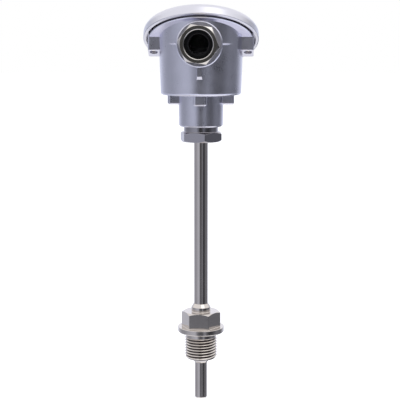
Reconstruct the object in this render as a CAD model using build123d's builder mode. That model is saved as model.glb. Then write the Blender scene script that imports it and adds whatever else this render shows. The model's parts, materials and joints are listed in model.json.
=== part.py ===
from build123d import *

import os
from math import cos, radians, sin, tan

# Screw-in resistance temperature sensor with a cast connection head.
# The origin is the centre of the sealing face under the collar of the process fitting.
# +Z runs up the neck to the head, and the cable gland points towards -Y. Sizes are in millimetres.

# Process fitting: pipe thread G 1/2 with a sealing collar and a hexagon.
process_thread_diameter = 20.955
process_thread_length = 16.5
process_thread_chamfer = 1.5
relief_diameter = 18.2
relief_width = 2.4
collar_diameter = 30.0
collar_thickness = 3.4
collar_chamfer = 0.5
process_hex_flats = 22.0
process_hex_height = 10.0
process_hex_turn = -5.3
spigot_diameter = 12.4
spigot_height = 2.9
upper_weld_height = 2.5
lower_weld_height = 1.8
lower_weld_spread = 1.3
tube_stop_height = 3.0

# Tubes.
neck_tube_diameter = 9.0
neck_tube_wall = 1.0
protection_tube_diameter = 8.0
protection_tube_wall = 0.7
protection_tube_end = 1.5
insertion_length = 44.5
tube_end_chamfer = 0.6

# Neck nipple, M24 x 1.5, that carries the head.
head_base_height = 133.6
nipple_hex_flats = 24.0
nipple_hex_height = 6.1
nipple_hex_turn = -17.8
nipple_relief_diameter = 21.7
nipple_relief_height = 3.5
neck_thread_diameter = 24.0
nipple_thread_length = 12.4
nipple_thread_chamfer = 0.8

# Connection head.
head_neck_diameter = 28.5
head_neck_height = 20.0
head_neck_draft = 1.0
head_neck_edge = 0.9
head_thread_chamfer = 0.5
head_thread_depth = 16.4
head_bottom_radius = 25.4
head_draft = 1.7
head_edge_radius = 1.8
head_floor_thickness = 4.4
head_wall = 2.9
cavity_edge_radius = 1.0
neck_passage_radius = 9.0
pad_inset = 4.4
pad_width = 8.8
pad_height = 6.1
pad_corner = 1.8
pad_edge = 0.9

# Slanted rim of the head, in the plane of the cover. The rise is counted from the bottom of the bowl.
slant_tilt = 26.5
rim_rise = 32.9
flange_overhang = 3.527
flange_thickness = 4.0
flange_edge = 0.4
ear_front = 6.4
ear_back = 2.4
ear_height = 7.1
ear_overlap = 1.0
ear_corner = 1.0

# Cable entry. Its axis lies just under the rim plane, and the boss stands proud of the bowl.
gland_drop = 1.1
boss_radius = 14.1
boss_proud = 4.1
boss_edge = 0.8
entry_thread_diameter = 20.0
rib_width = 4.3
rib_front_width = 2.9
rib_reach = 2.2
rib_length = 7.3
rib_slope_height = 1.8
rib_slope_depth = 1.4
seam_height = 0.8
seam_proud = 0.55
seam_start = 31.0
seam_arc = 15.0

# Cable gland, M20 x 1.5.
gland_hex_flats = 22.0
gland_hex_height = 4.5
gland_hex_turn = -8.4
gland_inner_reach = 9.0
gland_washer_thickness = 1.0
gland_washer_width = 0.9
gland_bore_radius = 6.4
gland_front_radius = 9.0
gland_front_length = 7.0
seal_outer_radius = 7.5
seal_inner_radius = 6.0
seal_length = 5.7
seal_taper = 0.8
thrust_ring_inner_radius = 6.8
thrust_ring_thickness = 0.8
gland_nut_turn = -8.4
gland_nut_height = 11.2
gland_nut_mouth_radius = 8.5
gland_nut_mouth_edge = 0.6
gland_nut_gap = 0.4

# Cover, in the slanted plane, with heights counted from the underside of the flange.
cover_skirt_gap = 1.4
cover_skirt_wall = 1.85
cover_skirt_start = 1.0
cover_skirt_edge = 0.6
cover_corner_height = 8.0
cover_crown_height = 12.4
cover_shoulder_radius = 4.2
cover_wall = 2.2
cover_pocket_height = 6.2
cover_rib_margin = 4.0
cover_rib_width = 3.0
cover_lug_radius = 5.0
cover_lug_height = 7.8
gasket_thickness = 1.2
gasket_margin = 0.4

# Cover screws, M4, captive in the cover. The margin is the distance of their axes from the rim's edge.
cover_screw_margin = 3.5
cover_screw_radius = 2.0
cover_screw_length = 12.6
cover_screw_head_radius = 3.5
cover_screw_head_height = 2.4
cover_recess_radius = 3.8
cover_recess_floor = 6.4
ear_mouth_radius = 2.5
ear_mouth_depth = 1.6

# Measuring insert: plate, terminal block and sheath, held down by two sprung screws.
insert_seat_height = 2.0
insert_seat_radius = 4.2
insert_screw_offset = 16.5
insert_plate_margin = 1.5
insert_plate_thickness = 2.0
insert_screw_radius = 2.0
insert_screw_grip = 9.5
insert_screw_hole_radius = 2.4
insert_screw_head_radius = 3.8
insert_screw_head_height = 2.6
insert_spring_length = 13.0
spring_wire_radius = 0.35
spring_wire_sides = 6
spring_coil_radius = 2.9
spring_turns = 4.5
sheath_radius = 3.0
sheath_wall = 0.6
sheath_end = 1.0
sheath_rise = 2.5
tip_gap = 0.3
core_radius = 2.35
core_bore_offset = 1.05
lead_radius = 0.45
lead_bend_radius = 1.0
element_radius = 1.9
element_length = 15.0
block_length = 31.0
block_width = 22.0
block_height = 10.0
block_corner = 4.0
block_passage_radius = 4.0
channel_depth = 4.6
channel_length = 13.0
channel_width = 19.0

# Terminals and their screws, M3.
terminal_x = 6.0
terminal_y = 10.0
terminal_width = 6.0
terminal_length = 7.4
terminal_height = 5.0
terminal_wire_radius = 1.3
terminal_screw_radius = 1.5
terminal_screw_head_radius = 2.6
terminal_screw_head_height = 1.8
rivet_y = 12.6
rivet_radius = 1.0
rivet_head_radius = 1.7
rivet_head_height = 0.8

# Earth terminal inside the head, M4, on a lug of the wall.
earth_angle = 30.0
earth_inset = 4.0
earth_lug_radius = 3.6
earth_lug_rise = 9.0
earth_lug_height = 4.5
earth_screw_radius = 2.0
earth_screw_length = 4.0
earth_screw_head_radius = 3.3
earth_screw_head_height = 2.4
earth_washer_radius = 3.5
earth_washer_thickness = 0.8

# Shared rules for screws, and clearances.
slot_width = 1.0
slot_share = 0.5
thread_clearance = 0.05
turning_clearance = 0.1
seat_gap = 0.1
weld_clearance = 0.02
pocket_clearance = 0.2
hex_chamfer_angle = 30.0
cutting_margin = 1.0

# Places worked out from the sizes above.
process_thread_radius = process_thread_diameter / 2
process_hex_top = collar_thickness + process_hex_height
spigot_top = process_hex_top + spigot_height
upper_weld_top = spigot_top + upper_weld_height
neck_tube_radius = neck_tube_diameter / 2
protection_tube_radius = protection_tube_diameter / 2
nipple_hex_bottom = head_base_height - nipple_relief_height - nipple_hex_height
nipple_hex_top = nipple_hex_bottom + nipple_hex_height
nipple_top = head_base_height + nipple_thread_length
neck_thread_radius = neck_thread_diameter / 2
head_bottom = head_base_height + head_neck_height
head_floor = head_bottom + head_floor_thickness
cavity_radius = head_bottom_radius - head_wall
pad_reach = head_bottom_radius - pad_inset
slant_height = head_bottom + rim_rise
rim_bowl_radius = head_bottom_radius + rim_rise * tan(radians(head_draft))
flange_radius = rim_bowl_radius / cos(radians(slant_tilt)) + flange_overhang
gland_height = slant_height - gland_drop
boss_face = head_bottom_radius + boss_proud
rib_top = gland_height - boss_radius
rib_bottom = rib_top - rib_length
insert_seat = head_floor + insert_seat_height
insert_plate_radius = cavity_radius - insert_plate_margin
plate_top = insert_seat + insert_plate_thickness
block_top = plate_top + block_height
channel_floor = block_top - channel_depth
earth_distance = cavity_radius - earth_inset
earth_lug_bottom = plate_top + earth_lug_rise
earth_lug_top = earth_lug_bottom + earth_lug_height
cover_radius = flange_radius + cover_skirt_gap + cover_skirt_wall
cover_screw_offset = flange_radius - cover_screw_margin
cover_rib_inner_radius = cover_screw_offset - cover_rib_margin
gasket_inner_radius = cover_rib_inner_radius + seat_gap
gasket_outer_radius = flange_radius - gasket_margin
gasket_top = flange_thickness + gasket_thickness
head_top = slant_height + flange_radius

slant = Plane(
    origin=(0, 0, slant_height),
    x_dir=(1, 0, 0),
    z_dir=(0, sin(radians(slant_tilt)), cos(radians(slant_tilt))),
)
entry = Plane(origin=(0, 0, gland_height), x_dir=(1, 0, 0), z_dir=(0, -1, 0))


def side_of(base):
    """Return the plane through the axis of base, with x across the axis and y along it."""
    return Plane(origin=base.origin, x_dir=base.x_dir, z_dir=-base.y_dir)


def turned(base, outline, mode=Mode.ADD):
    """Turn a closed outline of (radius, height) points about the axis of base."""
    with BuildSketch(side_of(base), mode=Mode.PRIVATE) as section:
        with BuildLine():
            Polyline(*outline, close=True)
        make_face()
    revolve(section.sketch, axis=Axis(base.origin, base.z_dir), mode=mode)


def round_bar(base, radius, start, end, mode=Mode.ADD):
    """Add or cut a round bar along the axis of base between two heights."""
    with BuildSketch(base.offset(start), mode=Mode.PRIVATE) as section:
        Circle(radius)
    extrude(section.sketch, amount=end - start, mode=mode)


def hexagon(base, flats, start, height, turn, chamfer_start=True, chamfer_end=True):
    """Add a hexagon whose corners are turned off at its ends, as on a nut."""
    with BuildSketch(base.offset(start), mode=Mode.PRIVATE) as section:
        RegularPolygon(radius=flats / 2, side_count=6, major_radius=False, rotation=turn)
    extrude(section.sketch, amount=height)
    corner = flats / 2 / cos(radians(30)) + cutting_margin
    drop = (corner - flats / 2) * tan(radians(hex_chamfer_angle))
    if chamfer_start:
        turned(base, [(flats / 2, start), (corner, start), (corner, start + drop)], Mode.SUBTRACT)
    if chamfer_end:
        end = start + height
        turned(base, [(flats / 2, end), (corner, end), (corner, end - drop)], Mode.SUBTRACT)


def slotted_screw(base, radius, length, head_radius, head_height, slot_turn=0.0):
    """Add a cheese-head screw whose head sits on base and whose shank points back through it."""
    round_bar(base, radius, -length, 0)
    round_bar(base, head_radius, 0, head_height)
    slot_depth = head_height * slot_share
    with BuildSketch(base.offset(head_height - slot_depth), mode=Mode.PRIVATE) as slot:
        Rectangle(2 * head_radius + cutting_margin, slot_width, rotation=slot_turn)
    extrude(slot.sketch, amount=slot_depth, mode=Mode.SUBTRACT)


def level_on_slant(y, offset):
    """Return the height, y behind the axis, of the plane that lies offset above the rim plane."""
    return slant_height + offset / cos(radians(slant_tilt)) - y * tan(radians(slant_tilt))


os.makedirs("parts", exist_ok=True)

# Process fitting: pipe thread, collar, hexagon and the two sockets that the tubes are welded into.
with BuildPart() as process_fitting:
    thread_end = -process_thread_length
    relief_radius = relief_diameter / 2
    end_radius = process_thread_radius - process_thread_chamfer
    turned(
        Plane.XY,
        [
            (0, thread_end),
            (end_radius, thread_end),
            (process_thread_radius, thread_end + process_thread_chamfer),
            (process_thread_radius, -relief_width),
            (relief_radius, -relief_width),
            (relief_radius, 0),
            (collar_diameter / 2 - collar_chamfer, 0),
            (collar_diameter / 2, collar_chamfer),
            (collar_diameter / 2, collar_thickness),
            (0, collar_thickness),
        ],
    )
    hexagon(Plane.XY, process_hex_flats, collar_thickness, process_hex_height, process_hex_turn, False)
    turned(
        Plane.XY,
        [
            (0, process_hex_top),
            (spigot_diameter / 2, process_hex_top),
            (spigot_diameter / 2, spigot_top),
            (neck_tube_radius + weld_clearance, upper_weld_top),
            (0, upper_weld_top),
        ],
    )
    turned(
        Plane.XY,
        [
            (0, thread_end),
            (protection_tube_radius + lower_weld_spread, thread_end),
            (protection_tube_radius + weld_clearance, thread_end - lower_weld_height),
            (0, thread_end - lower_weld_height),
        ],
    )
    neck_socket_floor = tube_stop_height / 2
    round_bar(
        Plane.XY,
        neck_tube_radius + weld_clearance,
        neck_socket_floor,
        upper_weld_top,
        Mode.SUBTRACT,
    )
    round_bar(
        Plane.XY,
        protection_tube_radius + weld_clearance,
        thread_end - lower_weld_height,
        -neck_socket_floor,
        Mode.SUBTRACT,
    )
    stop_radius = (neck_tube_radius - neck_tube_wall + protection_tube_radius - protection_tube_wall) / 2
    round_bar(Plane.XY, stop_radius, -neck_socket_floor, neck_socket_floor, Mode.SUBTRACT)
process_fitting.part.label = "process_fitting"
export_step(process_fitting.part, "parts/process_fitting.step")

# Protection tube with its closed tip.
with BuildPart() as protection_tube:
    tube_inner_radius = protection_tube_radius - protection_tube_wall
    turned(
        Plane.XY,
        [
            (0, -insertion_length),
            (protection_tube_radius - tube_end_chamfer, -insertion_length),
            (protection_tube_radius, -insertion_length + tube_end_chamfer),
            (protection_tube_radius, -tube_stop_height / 2),
            (tube_inner_radius, -tube_stop_height / 2),
            (tube_inner_radius, -insertion_length + protection_tube_end),
            (0, -insertion_length + protection_tube_end),
        ],
    )
protection_tube.part.label = "protection_tube"
export_step(protection_tube.part, "parts/protection_tube.step")

# Neck tube between the fitting and the nipple.
with BuildPart() as neck_tube:
    with BuildSketch(Plane.XY.offset(tube_stop_height / 2)):
        Circle(neck_tube_radius)
        Circle(neck_tube_radius - neck_tube_wall, mode=Mode.SUBTRACT)
    extrude(amount=nipple_top - tube_stop_height / 2)
neck_tube.part.label = "neck_tube"
export_step(neck_tube.part, "parts/neck_tube.step")

# Neck nipple: hexagon, relief groove and the thread that the head is screwed on to.
with BuildPart() as neck_nipple:
    hexagon(Plane.XY, nipple_hex_flats, nipple_hex_bottom, nipple_hex_height, nipple_hex_turn)
    nipple_thread_radius = neck_thread_radius - thread_clearance
    turned(
        Plane.XY,
        [
            (0, nipple_hex_top),
            (nipple_relief_diameter / 2, nipple_hex_top),
            (nipple_relief_diameter / 2, head_base_height),
            (nipple_thread_radius, head_base_height),
            (nipple_thread_radius, nipple_top - nipple_thread_chamfer),
            (nipple_thread_radius - nipple_thread_chamfer, nipple_top),
            (0, nipple_top),
        ],
    )
    nipple_bore = neck_tube_radius + weld_clearance
    round_bar(Plane.XY, nipple_bore, nipple_hex_bottom, nipple_top, Mode.SUBTRACT)
neck_nipple.part.label = "neck_nipple"
export_step(neck_nipple.part, "parts/neck_nipple.step")

# Ear for the right cover screw: upright walls under the rim, and a bottom square to the screw.
ear_start = head_bottom_radius - head_edge_radius
with BuildPart() as ear_block:
    with BuildSketch(Plane.YZ.offset(ear_start)):
        with BuildLine():
            Polyline(
                (-ear_front, level_on_slant(-ear_front, ear_overlap)),
                (-ear_front, level_on_slant(-ear_front, -ear_height)),
                (ear_back, level_on_slant(ear_back, -ear_height)),
                (ear_back, level_on_slant(ear_back, ear_overlap)),
                close=True,
            )
        make_face()
    extrude(amount=flange_radius - ear_start)
    fillet(ear_block.edges().filter_by(Axis.Z).group_by(Axis.X)[-1], ear_corner)

# Connection head: one casting with a tapered round bowl, a threaded neck, a slanted rim,
# two ears for the cover screws and a boss for the cable gland.
with BuildPart() as head_body:
    head_top_radius = head_bottom_radius + (head_top - head_bottom) * tan(radians(head_draft))
    with BuildSketch(Plane.XZ) as bowl:
        with BuildLine():
            Polyline(
                (0, head_bottom),
                (head_bottom_radius, head_bottom),
                (head_top_radius, head_top),
                (0, head_top),
                close=True,
            )
        make_face()
        fillet(bowl.vertices().sort_by_distance((head_bottom_radius, head_bottom))[0], head_edge_radius)
    revolve(axis=Axis.Z)
    split(bisect_by=slant.offset(flange_thickness / 2), keep=Keep.BOTTOM)

    # Neck with its draft, and the four pads where it meets the bowl.
    neck_end_radius = head_neck_diameter / 2 - head_neck_height * tan(radians(head_neck_draft))
    turned(
        Plane.XY,
        [
            (0, head_base_height),
            (neck_end_radius - head_neck_edge, head_base_height),
            (neck_end_radius, head_base_height + head_neck_edge),
            (head_neck_diameter / 2, head_bottom),
            (head_neck_diameter / 2, head_bottom + head_edge_radius),
            (0, head_bottom + head_edge_radius),
        ],
    )
    pad_start = neck_thread_radius + seat_gap
    with BuildSketch(Plane.XY.offset(head_bottom - pad_height + pad_edge), mode=Mode.PRIVATE) as pads:
        with PolarLocations((pad_start + pad_reach) / 2, 4):
            RectangleRounded(pad_reach - pad_start, pad_width, pad_corner)
    extrude(pads.sketch, amount=pad_height - pad_edge + head_edge_radius)
    extrude(pads.sketch, amount=-pad_edge, taper=45)

    # Slanted rim and the ears below it.
    with BuildSketch(slant):
        Circle(flange_radius)
    extrude(amount=flange_thickness)
    rim_edges = head_body.edges().filter_by(GeomType.CIRCLE)
    rim_edges = rim_edges.filter_by(lambda edge: abs(edge.radius - flange_radius) < seat_gap)
    chamfer(rim_edges, flange_edge)
    add(ear_block.part)
    mirror(ear_block.part, about=Plane.YZ)

    # Boss for the gland, with the rib under it and the mould seam beside it.
    with BuildSketch(side_of(entry), mode=Mode.PRIVATE) as boss:
        with BuildLine():
            Polyline(
                (0, cavity_radius / 2),
                (boss_radius, cavity_radius / 2),
                (boss_radius, boss_face),
                (0, boss_face),
                close=True,
            )
        make_face()
        fillet(boss.vertices().sort_by_distance((boss_radius, boss_face))[0], boss_edge)
    revolve(boss.sketch, axis=Axis(entry.origin, entry.z_dir))
    rib_front = -head_bottom_radius - rib_reach
    rib_root = -head_bottom_radius + head_wall / 2
    with BuildSketch(Plane.XY.offset(rib_bottom)):
        with BuildLine():
            Polyline(
                (-rib_width / 2, rib_root),
                (-rib_front_width / 2, rib_front),
                (rib_front_width / 2, rib_front),
                (rib_width / 2, rib_root),
                close=True,
            )
        make_face()
    extrude(amount=rib_length + boss_edge)
    with BuildSketch(Plane.YZ, mode=Mode.PRIVATE) as rib_slope:
        with BuildLine():
            Polyline(
                (rib_front - seat_gap, rib_bottom - seat_gap),
                (rib_front - seat_gap, rib_bottom + rib_slope_height),
                (rib_front, rib_bottom + rib_slope_height),
                (rib_front + rib_slope_depth, rib_bottom),
                (rib_front + rib_slope_depth, rib_bottom - seat_gap),
                close=True,
            )
        make_face()
    extrude(rib_slope.sketch, amount=rib_width / 2, both=True, mode=Mode.SUBTRACT)
    wall_at_seam = head_bottom_radius + (gland_height - head_bottom) * tan(radians(head_draft))
    for side in (1, -1):
        seam_turn = -90 + side * seam_start
        with BuildSketch(Plane.XZ.rotated((0, 0, seam_turn))):
            with Locations((wall_at_seam, gland_height)):
                Rectangle(2 * seam_proud, seam_height)
        revolve(axis=Axis.Z, revolution_arc=side * seam_arc)

    # Inside: cavity, passage and neck thread.
    with BuildSketch(Plane.XY.offset(head_floor)):
        Circle(cavity_radius)
    extrude(amount=head_top - head_floor, mode=Mode.SUBTRACT)
    floor_edges = head_body.edges().filter_by(GeomType.CIRCLE)
    floor_edges = floor_edges.filter_by(
        lambda edge: abs(edge.radius - cavity_radius) < seat_gap
        and abs(edge.center().Z - head_floor) < seat_gap
    )
    fillet(floor_edges, cavity_edge_radius)
    thread_top = head_base_height + head_thread_depth
    round_bar(Plane.XY, neck_passage_radius, head_base_height, head_floor, Mode.SUBTRACT)
    turned(
        Plane.XY,
        [
            (0, head_base_height),
            (neck_thread_radius + head_thread_chamfer, head_base_height),
            (neck_thread_radius, head_base_height + head_thread_chamfer),
            (neck_thread_radius, thread_top),
            (0, thread_top),
        ],
        Mode.SUBTRACT,
    )

    # Seats and tapped holes for the insert screws.
    with BuildSketch(Plane.XY.offset(head_floor)):
        with Locations((insert_screw_offset, 0), (-insert_screw_offset, 0)):
            Circle(insert_seat_radius)
    extrude(amount=insert_seat_height)
    with BuildSketch(Plane.XY.offset(insert_seat)):
        with Locations((insert_screw_offset, 0), (-insert_screw_offset, 0)):
            Circle(insert_screw_radius + turning_clearance)
    extrude(amount=-insert_screw_grip - seat_gap, mode=Mode.SUBTRACT)

    # Earth lug on the wall, with its tapped hole.
    earth_x = earth_distance * cos(radians(earth_angle))
    earth_y = earth_distance * sin(radians(earth_angle))
    lug_length = cavity_radius + earth_washer_thickness - earth_distance
    with BuildSketch(Plane.XY.offset(earth_lug_bottom)):
        with Locations((earth_x, earth_y)):
            Circle(earth_lug_radius)
        with Locations(Location((earth_x, earth_y, 0), (0, 0, earth_angle))):
            with Locations((lug_length / 2, 0)):
                Rectangle(lug_length, 2 * earth_lug_radius)
    extrude(amount=earth_lug_height)
    with BuildSketch(Plane.XY.offset(earth_lug_top)):
        with Locations((earth_x, earth_y)):
            Circle(earth_screw_radius + turning_clearance)
    extrude(amount=-earth_lug_height, mode=Mode.SUBTRACT)

    # Tapped hole through the boss, and the cover screw holes through rim and ears.
    round_bar(entry, entry_thread_diameter / 2, cavity_radius / 2, boss_face, Mode.SUBTRACT)
    with BuildSketch(slant.offset(flange_thickness)):
        with Locations((cover_screw_offset, 0), (-cover_screw_offset, 0)):
            Circle(cover_screw_radius + turning_clearance)
    extrude(amount=-flange_thickness - ear_height, mode=Mode.SUBTRACT)
    with BuildSketch(slant.offset(-ear_height)):
        with Locations((cover_screw_offset, 0), (-cover_screw_offset, 0)):
            Circle(ear_mouth_radius)
    extrude(amount=ear_mouth_depth, mode=Mode.SUBTRACT)
head_body.part.label = "head_body"
export_step(head_body.part, "parts/head_body.step")

# Cover: a turned shape with a crowned top, a skirt outside the rim, a rib that presses the gasket
# and two lugs that carry the screws.
with BuildPart() as head_cover:
    skirt_inner_radius = cover_radius - cover_skirt_wall
    rib_outer_radius = cover_rib_inner_radius + cover_rib_width
    crown_rise = cover_crown_height - cover_corner_height
    hollow_height = cover_crown_height - cover_wall
    hollow_drop = crown_rise * (cover_rib_inner_radius / cover_radius) ** 2
    with BuildSketch(side_of(slant)) as cover_section:
        with BuildLine():
            Line((0, hollow_height), (0, cover_crown_height))
            TangentArc(
                (0, cover_crown_height),
                (cover_radius, cover_corner_height),
                tangent=(1, 0),
            )
            Polyline(
                (cover_radius, cover_corner_height),
                (cover_radius, cover_skirt_start),
                (skirt_inner_radius, cover_skirt_start),
                (skirt_inner_radius, cover_pocket_height),
                (rib_outer_radius, cover_pocket_height),
                (rib_outer_radius, gasket_top),
                (cover_rib_inner_radius, gasket_top),
                (cover_rib_inner_radius, hollow_height - hollow_drop),
            )
            TangentArc(
                (0, hollow_height),
                (cover_rib_inner_radius, hollow_height - hollow_drop),
                tangent=(1, 0),
            )
        make_face()
        shoulder = cover_section.vertices().sort_by_distance((cover_radius, cover_corner_height))[0]
        fillet(shoulder, cover_shoulder_radius)
        skirt_corner = cover_section.vertices().sort_by_distance((cover_radius, cover_skirt_start))[0]
        fillet(skirt_corner, cover_skirt_edge)
    revolve(axis=Axis(slant.origin, slant.z_dir))
    with BuildSketch(slant.offset(gasket_top)):
        with Locations((cover_screw_offset, 0), (-cover_screw_offset, 0)):
            Circle(cover_lug_radius)
    extrude(amount=cover_lug_height - gasket_top)
    with BuildSketch(slant.offset(cover_recess_floor)):
        with Locations((cover_screw_offset, 0), (-cover_screw_offset, 0)):
            Circle(cover_recess_radius)
    extrude(amount=cover_crown_height - cover_recess_floor, mode=Mode.SUBTRACT)
    with BuildSketch(slant.offset(gasket_top)):
        with Locations((cover_screw_offset, 0), (-cover_screw_offset, 0)):
            Circle(cover_screw_radius + 2 * turning_clearance)
    extrude(amount=cover_recess_floor - gasket_top, mode=Mode.SUBTRACT)
head_cover.part.label = "head_cover"
export_step(head_cover.part, "parts/head_cover.step")

# Flat gasket between the rim and the cover.
with BuildPart() as cover_gasket:
    with BuildSketch(slant.offset(flange_thickness + weld_clearance)):
        Circle(gasket_outer_radius)
        Circle(gasket_inner_radius, mode=Mode.SUBTRACT)
        with Locations((cover_screw_offset, 0), (-cover_screw_offset, 0)):
            Circle(cover_screw_radius + 4 * turning_clearance, mode=Mode.SUBTRACT)
    extrude(amount=gasket_thickness - weld_clearance)
cover_gasket.part.label = "cover_gasket"
export_step(cover_gasket.part, "parts/cover_gasket.step")

# Cover screws, one on each side.
for side_name, side in (("left", -1), ("right", 1)):
    cover_screw_seat = (side * cover_screw_offset, 0, cover_recess_floor + seat_gap)
    with BuildPart() as cover_screw:
        slotted_screw(
            Plane(origin=slant.from_local_coords(cover_screw_seat), x_dir=slant.x_dir, z_dir=slant.z_dir),
            cover_screw_radius,
            cover_screw_length,
            cover_screw_head_radius,
            cover_screw_head_height,
            slot_turn=35.0 * side,
        )
    cover_screw.part.label = f"cover_screw_{side_name}"
    export_step(cover_screw.part, f"parts/cover_screw_{side_name}.step")

# Cable gland: body, face washer, rubber seal, thrust ring and nut, along the entry axis.
with BuildPart() as gland_body:
    hex_start = boss_face + gland_washer_thickness
    hex_end = hex_start + gland_hex_height
    front_end = hex_end + gland_front_length
    seal_seat = front_end - seal_length + seal_taper
    hexagon(entry, gland_hex_flats, hex_start, gland_hex_height, gland_hex_turn)
    entry_radius = entry_thread_diameter / 2 - thread_clearance
    round_bar(entry, entry_radius, boss_face - gland_inner_reach, hex_start)
    round_bar(entry, gland_front_radius, hex_end, front_end)
    round_bar(entry, gland_bore_radius, boss_face - gland_inner_reach, front_end, Mode.SUBTRACT)
    round_bar(entry, seal_outer_radius + weld_clearance, seal_seat, front_end, Mode.SUBTRACT)
gland_body.part.label = "gland_body"
export_step(gland_body.part, "parts/gland_body.step")

with BuildPart() as gland_washer:
    washer_inner_radius = entry_thread_diameter / 2 + weld_clearance
    with BuildSketch(entry.offset(boss_face)):
        Circle(washer_inner_radius + gland_washer_width)
        Circle(washer_inner_radius, mode=Mode.SUBTRACT)
    extrude(amount=gland_washer_thickness)
gland_washer.part.label = "gland_washer"
export_step(gland_washer.part, "parts/gland_washer.step")

with BuildPart() as gland_seal:
    seal_end = seal_seat + seal_length
    turned(
        entry,
        [
            (seal_inner_radius, seal_seat),
            (seal_outer_radius, seal_seat),
            (seal_outer_radius, seal_end - seal_taper),
            (seal_outer_radius - seal_taper, seal_end),
            (seal_inner_radius, seal_end),
        ],
    )
gland_seal.part.label = "gland_seal"
export_step(gland_seal.part, "parts/gland_seal.step")

with BuildPart() as gland_thrust_ring:
    ring_start = seal_end
    ring_end = ring_start + thrust_ring_thickness
    nut_bore_radius = gland_front_radius + thread_clearance
    with BuildSketch(entry.offset(ring_start)):
        Circle(nut_bore_radius - pocket_clearance)
        Circle(thrust_ring_inner_radius, mode=Mode.SUBTRACT)
    extrude(amount=thrust_ring_thickness)
gland_thrust_ring.part.label = "gland_thrust_ring"
export_step(gland_thrust_ring.part, "parts/gland_thrust_ring.step")

with BuildPart() as gland_nut:
    nut_start = hex_end + gland_nut_gap
    nut_end = nut_start + gland_nut_height
    mouth_start = ring_end + seat_gap
    hexagon(entry, gland_hex_flats, nut_start, gland_nut_height, gland_nut_turn)
    turned(
        entry,
        [
            (0, nut_start),
            (nut_bore_radius, nut_start),
            (nut_bore_radius, mouth_start),
            (gland_nut_mouth_radius, mouth_start),
            (gland_nut_mouth_radius, nut_end - gland_nut_mouth_edge),
            (gland_nut_mouth_radius + gland_nut_mouth_edge, nut_end),
            (0, nut_end),
        ],
        Mode.SUBTRACT,
    )
gland_nut.part.label = "gland_nut"
export_step(gland_nut.part, "parts/gland_nut.step")

# Plate of the measuring insert, with its two screw holes.
with BuildPart() as insert_plate:
    with BuildSketch(Plane.XY.offset(insert_seat)):
        Circle(insert_plate_radius)
        Circle(sheath_radius + weld_clearance, mode=Mode.SUBTRACT)
        with Locations((insert_screw_offset, 0), (-insert_screw_offset, 0)):
            Circle(insert_screw_hole_radius, mode=Mode.SUBTRACT)
        with Locations((0, rivet_y), (0, -rivet_y)):
            Circle(rivet_radius + weld_clearance, mode=Mode.SUBTRACT)
    extrude(amount=insert_plate_thickness)
insert_plate.part.label = "insert_plate"
export_step(insert_plate.part, "parts/insert_plate.step")

# Ceramic terminal block with a channel for the leads and a pocket for each terminal.
terminal_places = [
    (terminal_x, terminal_y),
    (-terminal_x, terminal_y),
    (-terminal_x, -terminal_y),
    (terminal_x, -terminal_y),
]
terminal_floor = block_top - terminal_height
with BuildPart() as terminal_block:
    with BuildSketch(Plane.XY.offset(plate_top)):
        RectangleRounded(block_width, block_length, block_corner)
    extrude(amount=block_height)
    chamfer(terminal_block.faces().sort_by(Axis.Z)[-1].edges(), pocket_clearance)
    with BuildSketch(Plane.XY.offset(channel_floor)):
        Rectangle(channel_width, channel_length)
    extrude(amount=channel_depth, mode=Mode.SUBTRACT)
    with BuildSketch(Plane.XY.offset(terminal_floor)):
        with Locations(*terminal_places):
            Rectangle(terminal_width + 2 * pocket_clearance, terminal_length + 2 * pocket_clearance)
    extrude(amount=terminal_height, mode=Mode.SUBTRACT)
    for x, y in terminal_places:
        outward = 1 if y > 0 else -1
        wire_plane = Plane(origin=(x, y, terminal_floor + terminal_height / 2), z_dir=(0, outward, 0))
        round_bar(wire_plane, terminal_wire_radius, 0, block_length / 2, Mode.SUBTRACT)
    with BuildSketch(Plane.XY.offset(plate_top)):
        Circle(block_passage_radius)
        with Locations((0, rivet_y), (0, -rivet_y)):
            Circle(rivet_radius + weld_clearance)
    extrude(amount=block_height, mode=Mode.SUBTRACT)
terminal_block.part.label = "terminal_block"
export_step(terminal_block.part, "parts/terminal_block.step")

# Brass terminals, each with a wire hole and a screw that stops just above the lead.
terminal_middle = terminal_floor + terminal_height / 2
lead_level = terminal_middle - terminal_wire_radius + lead_radius + thread_clearance
terminal_screw_length = block_top - lead_level - lead_radius
for number, (x, y) in enumerate(terminal_places, 1):
    with BuildPart() as terminal:
        with BuildSketch(Plane.XY.offset(terminal_floor)):
            with Locations((x, y)):
                Rectangle(terminal_width, terminal_length)
        extrude(amount=terminal_height)
        with BuildSketch(Plane.XZ.offset(-y - terminal_length)):
            with Locations((x, terminal_middle)):
                Circle(terminal_wire_radius)
        extrude(amount=2 * terminal_length, mode=Mode.SUBTRACT)
        with BuildSketch(Plane.XY.offset(lead_level)):
            with Locations((x, y)):
                Circle(terminal_screw_radius + turning_clearance)
        extrude(amount=block_top - lead_level, mode=Mode.SUBTRACT)
    terminal.part.label = f"terminal_{number}"
    export_step(terminal.part, f"parts/terminal_{number}.step")

    screw_seat = Plane(origin=(x, y, block_top + seat_gap))
    with BuildPart() as terminal_screw:
        slotted_screw(
            screw_seat,
            terminal_screw_radius,
            terminal_screw_length,
            terminal_screw_head_radius,
            terminal_screw_head_height,
            slot_turn=25.0 * number,
        )
    terminal_screw.part.label = f"terminal_screw_{number}"
    export_step(terminal_screw.part, f"parts/terminal_screw_{number}.step")

# Two rivets hold the block on the plate.
with BuildPart() as block_rivets:
    for y in (rivet_y, -rivet_y):
        rivet_base = Plane(origin=(0, y, 0))
        round_bar(rivet_base, rivet_radius, insert_seat, block_top)
        round_bar(rivet_base, rivet_head_radius, insert_seat - rivet_head_height, insert_seat)
        round_bar(rivet_base, rivet_head_radius, block_top, block_top + rivet_head_height)
block_rivets.part.label = "block_rivets"
export_step(block_rivets.part, "parts/block_rivets.step")

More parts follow.
